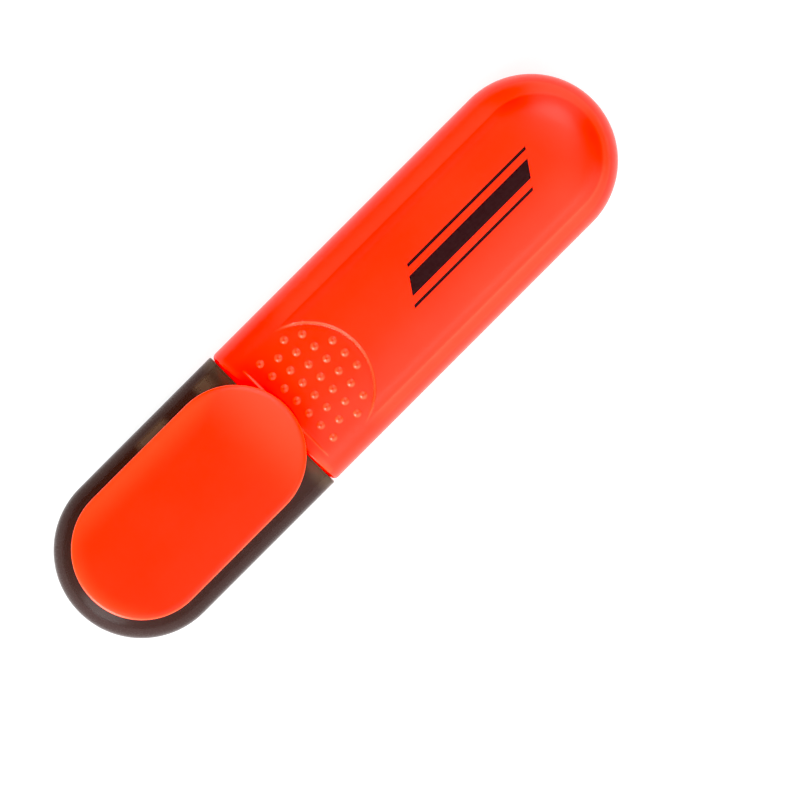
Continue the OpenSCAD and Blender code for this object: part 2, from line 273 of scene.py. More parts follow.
def sweep(places, profile):
    """The section carried along the stations, as an array of stations by profile points."""
    x = places[:, None, 0] + places[:, None, 1] * profile[None, :, 0]
    y = places[:, None, 2] * profile[None, :, 0]
    z = np.broadcast_to(profile[None, :, 1], x.shape)
    return np.stack([x, y, z], axis=2)


def mouth_ring(shape, loops):
    """Joins half sections at given x, each [x, half, rise], on both sides of the mouth."""
    for side in (1, -1):
        rows = []
        for x, half, rise in loops:
            line = section(half, rise)
            rows.append(np.column_stack([np.full(len(line), x), side * line[:, 0], line[:, 1]]))
        shape.grid(np.array(rows))


# ---------------------------------------------------------------- materials

def new_material(name, **sockets):
    made = bpy.data.materials.new(name)
    made.use_nodes = True
    shader = made.node_tree.nodes["Principled BSDF"]
    for socket, value in sockets.items():
        shader.inputs[socket.replace("_", " ")].default_value = value
    return made, made.node_tree.nodes, made.node_tree.links, shader


def texture_space(nodes, links, scale=(1, 1, 1)):
    """Coordinates fixed to the piece, stretched by a scale."""
    place = nodes.new("ShaderNodeTexCoord")
    mapping = nodes.new("ShaderNodeMapping")
    mapping.inputs["Scale"].default_value = scale
    links.new(place.outputs["Object"], mapping.inputs["Vector"])
    return mapping.outputs["Vector"]


def noise(nodes, links, size_mm, detail=2.0, stretch=(1, 1, 1), roughness=0.5):
    """A noise whose features are about size_mm across."""
    made = nodes.new("ShaderNodeTexNoise")
    made.inputs["Scale"].default_value = 1 / (size_mm * MM)
    made.inputs["Detail"].default_value = detail
    made.inputs["Roughness"].default_value = roughness
    links.new(texture_space(nodes, links, stretch), made.inputs["Vector"])
    return made.outputs["Fac"]


def ramp(nodes, links, source, low, high, colours):
    made = nodes.new("ShaderNodeValToRGB")
    made.color_ramp.elements[0].position = low
    made.color_ramp.elements[1].position = high
    made.color_ramp.elements[0].color = (*colours[0], 1)
    made.color_ramp.elements[1].color = (*colours[1], 1)
    links.new(source, made.inputs["Fac"])
    return made.outputs["Color"]


def map_range(nodes, links, source, low, high, to_low, to_high):
    made = nodes.new("ShaderNodeMapRange")
    made.inputs["From Min"].default_value = low
    made.inputs["From Max"].default_value = high
    made.inputs["To Min"].default_value = to_low
    made.inputs["To Max"].default_value = to_high
    links.new(source, made.inputs["Value"])
    return made.outputs["Result"]


def math_node(nodes, links, operation, first, second):
    made = nodes.new("ShaderNodeMath")
    made.operation = operation
    for socket, value in zip(made.inputs, (first, second)):
        if isinstance(value, (int, float)):
            socket.default_value = value
        else:
            links.new(value, socket)
    return made.outputs["Value"]


def add_bump(nodes, links, shader, height, distance_mm, strength=1.0):
    bump = nodes.new("ShaderNodeBump")
    bump.inputs["Distance"].default_value = distance_mm * MM
    bump.inputs["Strength"].default_value = strength
    links.new(height, bump.inputs["Height"])
    links.new(bump.outputs["Normal"], shader.inputs["Normal"])


def with_painted_light(nodes, links, colour, painted_light):
    """The colour, changed to a brighter one where the mesh's attribute says so. The brighter colour is
    painted light: painted highlights, sheen and light showing through.
    """
    painted = nodes.new("ShaderNodeAttribute")
    painted.attribute_name = "painted_light"
    mix = nodes.new("ShaderNodeMix")
    mix.data_type = "RGBA"
    links.new(painted.outputs["Fac"], mix.inputs["Factor"])
    links.new(colour, mix.inputs[6])
    mix.inputs[7].default_value = (*painted_light, 1)
    return mix.outputs[2]


def moulded_plastic(name, colours, roughness, grain=0.006, glow=None, glow_strength=0.0, scuffs=0.05,
                    painted_light=None, **sockets):
    """Moulded plastic with a fine etched grain, slightly uneven colour and faint rubbing marks."""
    made, nodes, links, shader = new_material(name, **sockets)
    drift = noise(nodes, links, 14, detail=3)
    colour = ramp(nodes, links, drift, 0.35, 0.65, colours)
    # Where a brighter colour is given, it is painted light: painted highlights, sheen and light showing
    # through, laid on by the mesh's painted share.
    if painted_light:
        colour = with_painted_light(nodes, links, colour, painted_light)
    links.new(colour, shader.inputs["Base Color"])
    fine = noise(nodes, links, 0.22, detail=3)
    rubbed = noise(nodes, links, 1.6, detail=5, stretch=(0.12, 1, 1), roughness=0.7)
    marks = map_range(nodes, links, rubbed, 0.56, 0.72, 0, scuffs)
    even = map_range(nodes, links, fine, 0.3, 0.7, roughness[0], roughness[1])
    links.new(math_node(nodes, links, "ADD", even, marks), shader.inputs["Roughness"])
    add_bump(nodes, links, shader, fine, grain)
    if glow:
        shader.inputs["Emission Color"].default_value = (*glow, 1)
        shader.inputs["Emission Strength"].default_value = glow_strength
    return made


def barrel_plastic():
    # The brighter colour is painted highlight on the dots, the arc, the mouth ridge, the rim beside the
    # panel and the lip.
    return moulded_plastic("barrel_plastic", [(0.60, 0.046, 0.023), (0.64, 0.051, 0.025)], (0.28, 0.36),
                           glow=(1.0, 0.0, 0.0), glow_strength=0.75, painted_light=(0.8, 0.155, 0.07), IOR=1.41)


def clip_plastic():
    # The brighter colour is painted highlight and sheen on the clip's rim, ends and far side.
    return moulded_plastic("clip_plastic", [(0.60, 0.041, 0.020), (0.64, 0.045, 0.022)], (0.28, 0.36),
                           glow=(1.0, 0.0, 0.0), glow_strength=0.75, painted_light=(0.8, 0.15, 0.055), IOR=1.41)


def smoke_plastic():
    """Smoke-coloured plastic that shows its hollow dimly and is dense where the side wall is seen end on."""
    # The brighter colour is painted light showing through the cap, at two patches beside the clip and
    # towards the mouth.
    made = moulded_plastic("smoke_plastic", [(0.033, 0.023, 0.023), (0.037, 0.026, 0.025)], (0.22, 0.3),
                           grain=0.003, glow=(0.055, 0.036, 0.032), glow_strength=1.0,
                           painted_light=(0.13, 0.09, 0.06), IOR=1.15)
    nodes, links = made.node_tree.nodes, made.node_tree.links
    split = nodes.new("ShaderNodeSeparateXYZ")
    links.new(texture_space(nodes, links), split.inputs["Vector"])
    past = math_node(nodes, links, "MINIMUM",
                     math_node(nodes, links, "SUBTRACT", split.outputs["X"], CAP_CENTRE_X * MM), 0.0)
    squares = math_node(nodes, links, "ADD", math_node(nodes, links, "MULTIPLY", past, past),
                        math_node(nodes, links, "MULTIPLY", split.outputs["Y"], split.outputs["Y"]))
    distance = math_node(nodes, links, "SQRT", squares, 0.0)
    links.new(map_range(nodes, links, distance, (CAP_INNER_HALF - 0.15) * MM, (CAP_INNER_HALF + 0.1) * MM,
                        0.8, 0.99), nodes["Principled BSDF"].inputs["Alpha"])
    return made


def liner_plastic():
    return moulded_plastic("liner_plastic", [(0.04, 0.018, 0.014), (0.05, 0.024, 0.018)], (0.35, 0.45),
                           IOR=1.49)


def clear_orange():
    made, nodes, links, shader = new_material(
        "clear_orange", Transmission_Weight=0.92, IOR=1.45, Emission_Color=(1.0, 0.06, 0.0, 1),
        Emission_Strength=0.14)
    drift = noise(nodes, links, 9, detail=2)
    links.new(ramp(nodes, links, drift, 0.3, 0.7, [(1.0, 0.25, 0.11), (1.0, 0.32, 0.16)]),
              shader.inputs["Base Color"])
    flow = noise(nodes, links, 2.5, detail=2, stretch=(0.2, 1, 1))
    links.new(map_range(nodes, links, flow, 0.3, 0.7, 0.05, 0.14), shader.inputs["Roughness"])
    add_bump(nodes, links, shader, flow, 0.02)
    return made


def felt():
    """Pressed fibres along the nib, wet with ink."""
    made, nodes, links, shader = new_material("felt", Emission_Color=(1.0, 0.03, 0.0, 1),
                                              Emission_Strength=0.45)
    fibres = noise(nodes, links, 0.35, detail=6, stretch=(0.08, 1, 1), roughness=0.7)
    links.new(ramp(nodes, links, fibres, 0.32, 0.68, [(0.62, 0.045, 0.0015), (0.8, 0.11, 0.004)]),
              shader.inputs["Base Color"])
    wet = noise(nodes, links, 1.8, detail=3)
    links.new(map_range(nodes, links, wet, 0.4, 0.65, 0.38, 0.75), shader.inputs["Roughness"])
    add_bump(nodes, links, shader, fibres, 0.05)
    return made


def soaked_fibre():
    made, nodes, links, shader = new_material("soaked_fibre", Emission_Color=(1.0, 0.05, 0.0, 1),
                                              Emission_Strength=0.2)
    fibres = noise(nodes, links, 0.3, detail=6, stretch=(0.04, 1, 1), roughness=0.7)
    links.new(ramp(nodes, links, fibres, 0.3, 0.7, [(0.7, 0.08, 0.01), (0.95, 0.22, 0.05)]),
              shader.inputs["Base Color"])
    links.new(map_range(nodes, links, fibres, 0.3, 0.7, 0.5, 0.8), shader.inputs["Roughness"])
    add_bump(nodes, links, shader, fibres, 0.05)
    return made


def clear_film():
    made, nodes, links, shader = new_material("clear_film", Alpha=0.3, IOR=1.5)
    creases = noise(nodes, links, 3, detail=4, stretch=(0.3, 1, 1))
    links.new(ramp(nodes, links, creases, 0.3, 0.7, [(0.95, 0.6, 0.45), (1.0, 0.75, 0.6)]),
              shader.inputs["Base Color"])
    links.new(map_range(nodes, links, creases, 0.3, 0.7, 0.08, 0.2), shader.inputs["Roughness"])
    add_bump(nodes, links, shader, creases, 0.05)
    return made


def print_ink():
    """Dark screen-print ink, slightly thin in places."""
    made, nodes, links, shader = new_material("print_ink", Specular_IOR_Level=0.25)
    thin = noise(nodes, links, 0.5, detail=4)
    links.new(ramp(nodes, links, thin, 0.3, 0.75, [(0.038, 0.021, 0.0215), (0.046, 0.025, 0.026)]),
              shader.inputs["Base Color"])
    links.new(map_range(nodes, links, thin, 0.3, 0.7, 0.4, 0.6), shader.inputs["Roughness"])
    add_bump(nodes, links, shader, thin, 0.004)
    return made


def floor_paint():
    made, nodes, links, shader = new_material("floor_paint", Specular_IOR_Level=0.2)
    drift = noise(nodes, links, 120, detail=3)
    links.new(ramp(nodes, links, drift, 0.3, 0.7, [(0.40, 0.40, 0.40), (0.42, 0.42, 0.42)]),
              shader.inputs["Base Color"])
    links.new(map_range(nodes, links, drift, 0.3, 0.7, 0.85, 0.95), shader.inputs["Roughness"])
    shader.inputs["Emission Color"].default_value = (1, 1, 1, 1)
    shader.inputs["Emission Strength"].default_value = 0.72
    return made


# ---------------------------------------------------------------- barrel

# Arc length, distance from the spine and height down the barrel's upper face, for unrolling it.
face = face_curve(BARREL_HALF, CROWN, SQUARENESS, 4000)
FACE_LENGTH = np.concatenate([[0], np.cumsum(np.hypot(*np.diff(face, axis=0).T))])
FACE_EDGE = FACE_LENGTH[-1]


def dot_centres():
    centres = []
    for column, count in enumerate(DOTS_PER_COLUMN):
        for row in range(count):
            centres.append((FIRST_DOT_X + column * DOT_COLUMN_PITCH,
                            FACE_SHIFT + (row - (count - 1) / 2) * DOT_ROW_PITCH))
    return np.array(centres)


DOTS = dot_centres()


def from_dot(x, y):
    """The distance to the nearest dot's centre."""
    return np.hypot(x[:, None] - DOTS[None, :, 0], y[:, None] - DOTS[None, :, 1]).min(axis=1)


def from_arc(x, across):
    """The distance outwards from the thumb rest's arc."""
    return np.hypot(x - THUMB_X, across) - THUMB_RADIUS


def inside_panel(x, across):
    """The distance inwards from the panel's edge."""
    return PANEL_HALF - np.hypot(np.maximum(x - PANEL_CENTRE_X, 0), across)


def relief(x, y):
    """Height of the moulded details over the barrel's plain crowned face."""
    across = y - FACE_SHIFT
    inside = inside_panel(x, across)
    behind_arc = from_arc(x, across)
    climb = np.clip((behind_arc + 0.28) / 0.42, 0, 1)
    on_panel = np.where(x > THUMB_X, 0.65 * climb + 0.35 * climb ** 2 * (3 - 2 * climb), 0)
    at_rear = np.clip((x - PANEL_CENTRE_X) / PANEL_HALF, 0, 1)
    t = np.clip(inside / (PANEL_BLEND_SIDE + (PANEL_BLEND_REAR - PANEL_BLEND_SIDE) * at_rear), 0, 1)
    panel = PANEL_RISE * (1 - (1 - t) ** 2) * on_panel
    arc_groove = -0.06 * np.exp(-((behind_arc + 0.42) / 0.13) ** 2) * np.where(x > THUMB_X, 1, 0)
    arc_groove *= smooth_step(inside, 0, 1.2)
    in_dish = smooth_step(x, DISH_START_X, DISH_START_X + 0.22) * smooth_step(-behind_arc, 0, 0.25)
    dish = -DISH_DEPTH * in_dish * (1 - smooth_step(np.abs(across), DISH_HALF - 2.2, DISH_HALF))
    away = from_dot(x, y)
    slope = np.clip((away - DOT_TOP_RADIUS) / (DOT_RADIUS - DOT_TOP_RADIUS), 0, 1)
    dots = DOT_RISE * (1 + np.cos(math.pi * slope)) / 2
    return panel + arc_groove + dish + dots


def unroll(points):
    """From a plan view of the upper face to the unrolled face."""
    x, y = points[:, 0], points[:, 1]
    past = np.maximum(x - REAR_CENTRE_X, 0)
    d = np.hypot(past, y)
    s = np.interp(d, face[:, 0], FACE_LENGTH)
    scale = np.where(d > 1e-9, s / np.maximum(d, 1e-9), 1)
    return np.column_stack([np.minimum(x, REAR_CENTRE_X) + past * scale, y * scale])


def roll_up(points, lift=0.0):
    """From the unrolled face to the real one, with its details, raised by lift."""
    u, v = points[:, 0], points[:, 1]
    past = np.maximum(u - REAR_CENTRE_X, 0)
    s = np.hypot(past, v)
    d = np.interp(s, FACE_LENGTH, face[:, 0])
    scale = np.where(s > 1e-9, d / np.maximum(s, 1e-9), 1)
    x = np.minimum(u, REAR_CENTRE_X) + past * scale
    y = v * scale
    z = MID_Z + np.interp(s, FACE_LENGTH, face[:, 1])
    return np.column_stack([x, y, z + relief(x, y) + lift])


def barrel_painted_highlights(x, y):
    """How far the barrel's colour is changed to its brighter one: painted highlights, most at the dots and
    the arc, also on the mouth ridge, the rim beside the panel and the lip.
    """
    across = y - FACE_SHIFT
    behind_arc = from_arc(x, across)
    away = from_dot(x, y)
    dots = 1 - smooth_step(away, DOT_RADIUS * 0.7, DOT_RADIUS * 1.05)
    centre = 0.9 * (1 - smooth_step(away, 0.08, 0.34))
    on_side = smooth_step(x, THUMB_X + 2, THUMB_X + 5) * (np.abs(across) < PANEL_HALF + 0.3)
    arc = np.exp(-((behind_arc + 0.08) / 0.12) ** 2) * on_side
    ridge = np.exp(-((x - DISH_START_X - 0.05) / 0.12) ** 2) * (np.abs(across) < DISH_HALF)
    inside = inside_panel(x, across)
    beside_panel = smooth_step(x, PANEL_FRONT_X - 1, PANEL_FRONT_X + 4)
    # Painted highlight along the rim beside the panel, stronger towards the rear.
    rim = (0.12 + 0.14 * smooth_step(x, PANEL_CENTRE_X, REAR_X - 3)) * (1 - smooth_step(inside, -0.3, 0.1))
    rim += 0.16 * np.exp(-((inside + 0.1) / 0.22) ** 2) * smooth_step(-across, -3, 6)
    rim *= beside_panel
    # Painted light on the lip at the mouth.
    lip = 0.3 * (1 - smooth_step(x, MOUTH_X + 0.4, MOUTH_X + 1.5)) * smooth_step(np.abs(y), 7.5, 9.5)
    return np.maximum.reduce([0.65 * (dots - centre), 0.55 * arc, 0.6 * ridge, rim, lip])


def store_painted_light(made, function):
    """Stores how far each vertex takes the brighter colour of painted light, worked out from its place in
    millimetres.
    """
    places = np.array([vertex.co for vertex in made.data.vertices]) / MM
    layer = made.data.attributes.new("painted_light", "FLOAT", "POINT")
    layer.data.foreach_set("value", function(places).astype(np.float32))


class Scatter:
    """Points on the unrolled face, each kept only if it isn't too close to one placed before."""

    def __init__(self, cell=0.5):
        self.cell = cell
        self.cells = {}
        self.points = []

    def add(self, points, gap):
        reach = int(math.ceil(gap / self.cell))
        for p in points:
            home = (math.floor(p[0] / self.cell), math.floor(p[1] / self.cell))
            near = (q for i in range(-reach, reach + 1) for j in range(-reach, reach + 1)
                    for q in self.cells.get((home[0] + i, home[1] + j), ()))
            if all((p[0] - q[0]) ** 2 + (p[1] - q[1]) ** 2 > gap * gap for q in near):
                self.cells.setdefault(home, []).append((p[0], p[1]))
                self.points.append((p[0], p[1]))


def spaced(start, end, spacing):
    return np.linspace(start, end, max(2, round(abs(end - start) / spacing) + 1))


def panel_line(inset, spacing):
    """The panel's outline in plan, moved inwards by inset."""
    half = PANEL_HALF - inset
    straight = spaced(PANEL_FRONT_X - 0.6, PANEL_CENTRE_X, spacing)
    angles = np.linspace(math.pi / 2, -math.pi / 2, round(math.pi * half / spacing) + 1)
    return np.vstack([np.column_stack([straight, np.full(len(straight), FACE_SHIFT + half)]),
                      np.column_stack([PANEL_CENTRE_X + half * np.cos(angles),
                                       FACE_SHIFT + half * np.sin(angles)]),
                      np.column_stack([straight, np.full(len(straight), FACE_SHIFT - half)])])


def thumb_arc(outset, spacing):
    radius = THUMB_RADIUS + outset
    end = math.asin(min(1, (PANEL_HALF + 0.2) / radius))
    angles = np.linspace(-end, end, round(2 * end * radius / spacing) + 1)
    return np.column_stack([THUMB_X + radius * np.cos(angles), FACE_SHIFT + radius * np.sin(angles)])


def ring_of(centre, radius, count):
    angles = np.linspace(0, 2 * math.pi, count, endpoint=False)
    return np.column_stack([centre[0] + radius * np.cos(angles), centre[1] + radius * np.sin(angles)])


def upper_face_points(front_x, places):
    """Points on the unrolled face: its edges, then rows that follow each moulded detail, then a fill."""
    scatter = Scatter()
    edge = [(place[0] + place[1] * FACE_EDGE, place[2] * FACE_EDGE) for place in places]
    rows = np.interp(UPPER[:, 0] * BARREL_HALF, face[:, 0], FACE_LENGTH)
    front = [(front_x, side * s) for side in (1, -1) for s in rows]
    scatter.add(edge + front, 1e-3)
    for centre in DOTS:
        scatter.add(unroll(np.array([centre])), 0.02)
        for share, count in ((0.2, 8), (0.4, 12), (0.6, 16), (0.8, 18), (1.0, 20), (1.15, 20)):
            scatter.add(unroll(ring_of(centre, DOT_RADIUS * share, count)), 0.05)
    for outset in (-0.28, 0.14, -0.07, 0.03, -0.17, -0.42, 0.3, -0.55, 0.5, -0.7):
        scatter.add(unroll(thumb_arc(outset, 0.4)), 0.07)
    for inset in (0, -0.14, 0.14, 0.3, -0.3, 0.55, -0.55, 0.9, 1.3, 1.8, 2.4, 3.1, -0.9):
        scatter.add(unroll(panel_line(inset, 0.45)), 0.09)
    across = FACE_SHIFT + spaced(-DISH_HALF, DISH_HALF, 0.45)
    for step in (0, 0.11, 0.22, -0.12, 0.4, -0.35):
        scatter.add(unroll(np.column_stack([np.full(len(across), DISH_START_X + step), across])), 0.09)
    for s in np.arange(FACE_EDGE - 0.35, 11.3, -0.4):
        row = np.array([(place[0] + place[1] * s, place[2] * s) for place in places])
        scatter.add(row, 0.22)
    pitch = 0.62
    for i, u in enumerate(np.arange(front_x, REAR_CENTRE_X + FACE_EDGE, pitch)):
        v = np.arange(-FACE_EDGE, FACE_EDGE, pitch) + (pitch / 2 if i % 2 else 0)
        past = np.maximum(u - REAR_CENTRE_X, 0)
        v = v[np.hypot(past, v) < FACE_EDGE - 0.3]
        scatter.add(np.column_stack([np.full(len(v), u), v]), 0.36)
    return scatter.points


def make_barrel():
    shape = Shape()
    front_x = LIP_X + LIP_LENGTH
    outer = stations(front_x, REAR_CENTRE_X, 0.6, 72)
    points = upper_face_points(front_x, outer)
    flat, _, triangles, *_ = geometry.delaunay_2d_cdt([Vector(p) for p in points], [], [], 0, 1e-6)
    shape.loose(roll_up(np.array([tuple(p) for p in flat])), triangles)
    profile = section(BARREL_HALF, CROWN)
    shape.grid(sweep(outer, profile[UPPER_ROWS - 1:]))
    loops = []
    for i in range(LIP_STEPS + 1):
        turn = math.pi / 2 * i / LIP_STEPS
        inset = 1 - math.cos(turn)
        loops.append((front_x - LIP_LENGTH * math.sin(turn), BARREL_HALF - LIP_SIDE * inset,
                      CROWN - LIP_FACE * inset))
    loops.append((LIP_X, CAVITY_HALF + 0.15, CAVITY_CROWN + 0.15))
    loops.append((LIP_X + 0.15, CAVITY_HALF, CAVITY_CROWN))
    mouth_ring(shape, loops)
    inner = stations(LIP_X + 0.15, REAR_CENTRE_X, 4, 40)
    shape.grid(sweep(inner, section(CAVITY_HALF, CAVITY_CROWN)))
    made = shape.piece("barrel_shell", barrel_plastic(), "pen")
    # Painted highlights, on the upper face only.
    store_painted_light(made, lambda p: barrel_painted_highlights(p[:, 0], p[:, 1]) * (p[:, 2] > MID_Z + CROWN * 0.6))
    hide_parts("barrel")


# ---------------------------------------------------------------- print on the barrel

def decal(shape, outline, cell=0.5):
    """A flat outline in plan, laid on the panel as a thin skin."""
    outline = np.array(outline)
    low, high = outline.min(axis=0), outline.max(axis=0)
    points = [Vector(p) for p in outline]
    for x in np.arange(low[0] + cell / 2, high[0], cell):
        for y in np.arange(low[1] + cell / 2, high[1], cell):
            points.append(Vector((x, y)))
    loop = [list(range(len(outline)))]
    flat, _, faces, *_ = geometry.delaunay_2d_cdt(points, [], loop, 1, 1e-6)
    shape.loose(roll_up(unroll(np.array([tuple(p) for p in flat])), PRINT_LIFT), faces)


PRINT_LIFT = 0.012
STRIPE_CENTRE_X = (THUMB_X + THUMB_RADIUS + PANEL_CENTRE_X + PANEL_HALF) / 2
STRIPE_LENGTH = 26.0
BROAD_STRIPE = 2.6
THIN_STRIPE = 0.5
STRIPE_GAP = 1.1
STRIPE_LEAN = 0.7


def slanted_stripe(centre_y, width):
    """The outline of a stripe along the pen. The ends of all the stripes lie on one slanted line."""
    outline = []
    for along, across in ((-1, -1), (1, -1), (1, 1), (-1, 1)):
        y = centre_y + across * width / 2
        lean = STRIPE_LEAN * (y - FACE_SHIFT)
        outline.append((STRIPE_CENTRE_X + along * STRIPE_LENGTH / 2 + lean, y))
    return outline


def make_print():
    """One broad stripe between two thin ones, along the middle of the moulded face."""
    shape = Shape()
    decal(shape, slanted_stripe(FACE_SHIFT, BROAD_STRIPE))
    beside = BROAD_STRIPE / 2 + STRIPE_GAP + THIN_STRIPE / 2
    for side in (1, -1):
        decal(shape, slanted_stripe(FACE_SHIFT + side * beside, THIN_STRIPE))
    made = shape.piece("barrel_print", print_ink(), "pen")


# ---------------------------------------------------------------- cap

def painted_light_through_cap(places):
    """Painted light on the cap: two short pale patches beside the clip, as of light through the cap over the
    far side guide and rib, and a paler band towards the mouth.
    """
    x = places[:, 0]
    along = np.zeros(len(places))
    for start, end in PAINTED_LIGHT_PATCHES:
        along += smooth_step(x, start, start + 0.9) * (1 - smooth_step(x, end - 0.9, end))
    across = smooth_step(places[:, 1], 9.3, 10.2) * (1 - smooth_step(places[:, 1], 11.9, 12.5))
    # The paler band towards the mouth is painted light, as of the orange barrel glowing through the smoke.
    mouth = 0.55 * smooth_step(x, CAP_MOUTH_X - 3, CAP_MOUTH_X - 0.5)
    return np.maximum(along * across * (places[:, 2] > MID_Z), mouth)


def make_cap_shell():
    shape = Shape()
    shape.grid(sweep(stations(CAP_MOUTH_X - CAP_EDGE, CAP_CENTRE_X, 0.8, 90), section(CAP_HALF, CROWN)))
    mouth_ring(shape, [
        (CAP_MOUTH_X - CAP_EDGE, CAP_HALF, CROWN),
        (CAP_MOUTH_X - CAP_EDGE * 0.3, CAP_HALF - CAP_EDGE * 0.3, CROWN - CAP_EDGE * 0.3),
        (CAP_MOUTH_X, CAP_HALF - CAP_EDGE, CROWN - CAP_EDGE),
        (CAP_MOUTH_X, CAP_INNER_HALF + CAP_EDGE, CAP_INNER_CROWN + CAP_EDGE),
        (CAP_MOUTH_X - CAP_EDGE, CAP_INNER_HALF, CAP_INNER_CROWN),
    ])
    shape.grid(sweep(stations(CAP_MOUTH_X - CAP_EDGE, CAP_CENTRE_X, 1.6, 60),
                     section(CAP_INNER_HALF, CAP_INNER_CROWN)))
    for side in (1, -1):
        reach = sorted((side * (CAP_INNER_HALF + 0.2), side * (CAP_INNER_HALF + 0.2 - GUIDE_REACH)))
        add_box(shape, (GUIDE_X, reach[0], MID_Z - GUIDE_THICKNESS / 2),
                (GUIDE_X + GUIDE_LENGTH, reach[1], MID_Z + GUIDE_THICKNESS / 2))
    made = shape.piece("cap_body", smoke_plastic(), "cap")
    store_painted_light(made, painted_light_through_cap)
    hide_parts("cap_shell")


def clip_stations(steps=48):
    """Round the clip's oval outline: places on its spine and the directions outwards."""
    first = CLIP_START_X + CLIP_HALF
    last = CLIP_END_X - CLIP_HALF
    out = []
    for x in spaced(first, last, 0.7):
        out.append((x, 0, 1))
    for a in np.linspace(math.pi / 2, -math.pi / 2, steps + 1)[1:-1]:
        out.append((last, math.cos(a), math.sin(a)))
    for x in spaced(last, first, 0.7):
        out.append((x, 0, -1))
    for a in np.linspace(-math.pi / 2, -3 * math.pi / 2, steps + 1)[1:-1]:
        out.append((first, math.cos(a), math.sin(a)))
    return np.array(out)


def clip_profile():
    """The plate from the middle of its top, over the rolled edge, to the middle of its underside."""
    under = CLIP_TOP - CLIP_THICKNESS
    out = [(d, CLIP_TOP - CLIP_PILLOW * (d / CLIP_HALF) ** 2.5)
           for d in np.linspace(0, CLIP_HALF - CLIP_ROLL, 22)]
    shoulder = out[-1][1]
    for turn in np.linspace(12, 90, 9):
        a = math.radians(turn)
        out.append((CLIP_HALF - CLIP_ROLL * (1 - math.sin(a)),
                    shoulder - CLIP_ROLL_DROP * (1 - math.cos(a))))
    for turn in np.linspace(0, 90, 5):
        a = math.radians(turn)
        out.append((CLIP_HALF - 0.2 * (1 - math.cos(a)), under + 0.2 * (1 - math.sin(a))))
    for d in np.linspace(CLIP_HALF - 0.6, 0, 10):
        out.append((d, under))
    return np.array(out)


def clip_drop(x):
    """How far the plate has fallen towards the barrel near its free end."""
    t = np.clip((x - (CLIP_END_X - CLIP_DROOP_LENGTH)) / CLIP_DROOP_LENGTH, 0, 1)
    return CLIP_DROOP * t ** 2


def clip_painted_highlights(places):
    """Where the clip takes its brighter colour as painted highlights and sheen: its rim, its two ends and
    its far side.
    """
    first, last = CLIP_START_X + CLIP_HALF, CLIP_END_X - CLIP_HALF
    past = np.maximum(np.maximum(first - places[:, 0], places[:, 0] - last), 0)
    out = np.hypot(past, places[:, 1])
    rim = 0.6 * smooth_step(out, CLIP_HALF - 0.35, CLIP_HALF - 0.05)
    far_side = 0.3 * smooth_step(places[:, 1], CLIP_HALF - 5, CLIP_HALF)
    closed_end = 0.3 * smooth_step(first - places[:, 0], 4, CLIP_HALF)
    closed_end *= smooth_step(out, CLIP_HALF - 3, CLIP_HALF)
    free_end = 0.28 * smooth_step(places[:, 0], CLIP_END_X - 13, CLIP_END_X - 1)
    return np.maximum(rim, np.maximum(far_side, free_end) + closed_end)


def make_clip():
    shape = Shape()
    places = clip_stations()
    plate = sweep(places, clip_profile())
    plate[..., 2] -= clip_drop(plate[..., 0])
    shape.grid(np.concatenate([plate, plate[:1]]))
    shape.grid(pedestal())
    made = shape.piece("clip_plate", clip_plastic())
    store_painted_light(made, clip_painted_highlights)
    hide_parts("clip_root", "clip_blade")
    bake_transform(made)


def pedestal():
    """The foot under the clip's fixed end, from just inside the plate down into the cap's crown."""
    half = CLIP_HALF - PEDESTAL_INSET
    spine = CLIP_START_X + CLIP_HALF
    outline = []
    for a in np.linspace(math.pi / 2, 3 * math.pi / 2, 41):
        outline.append((spine + half * math.cos(a), half * math.sin(a)))
    end = CLIP_HINGE_X - 1.0
    corner = 1.5
    for a in np.linspace(-math.pi / 2, 0, 8):
        outline.append((end - corner + corner * math.cos(a), -half + corner + corner * math.sin(a)))
    for a in np.linspace(0, math.pi / 2, 8):
        outline.append((end - corner + corner * math.cos(a), half - corner + corner * math.sin(a)))
    outline = np.array(outline)
    top = CLIP_TOP - CLIP_THICKNESS + 0.05
    rows = []
    centre = np.array([spine, 0])
    for share, z in ((0.0, top), (1.0, top), (1.0, None), (0.0, None)):
        flat = centre + (outline - centre) * share
        if z is None:
            d = np.hypot(np.minimum(flat[:, 0] - CAP_CENTRE_X, 0), flat[:, 1])
            heights = MID_Z + CROWN * (1 - (d / CAP_HALF) ** SQUARENESS) ** (1 / SQUARENESS) - 0.25
        else:
            heights = np.full(len(flat), z)
        rows.append(np.column_stack([flat, heights]))
    rows = np.array(rows)
    return np.concatenate([rows, rows[:, :1]], axis=1)


# ---------------------------------------------------------------- front section and nib

NOZZLE_X = FRONT_LOW[0]
NOZZLE_RADIUS = 4.05
NOZZLE_LENGTH = 5.5
COLLAR_HALF = FRONT_HIGH[1]
COLLAR_CROWN = FRONT_HIGH[2] - MID_Z
COLLAR_DEPTH = 0.94
COLLAR_X = MOUTH_X - COLLAR_DEPTH
FLARE_X = NOZZLE_X + NOZZLE_LENGTH
FLARE_LENGTH = COLLAR_X - FLARE_X
FLARE_END_HALF = COLLAR_HALF - 0.2
FLARE_END_CROWN = COLLAR_CROWN - 0.3
FLARE_CURVE = 0.9375
FLARE_WALL = 1.1
NIB_HALF = NIB_HIGH[1]
NIB_TALL = (NIB_HIGH[2] - NIB_LOW[2]) / 2
CHANNEL_WALL = 0.8
CHANNEL_PLAY = 0.06
PLUG_PLAY = 0.05
PLUG_LENGTH = 8
PLUG_WALL = 1.1
WEB_LENGTH = 7.2
WEB_LEAN = math.tan(math.radians(27))
WEB_HALF_THICKNESS = 0.35


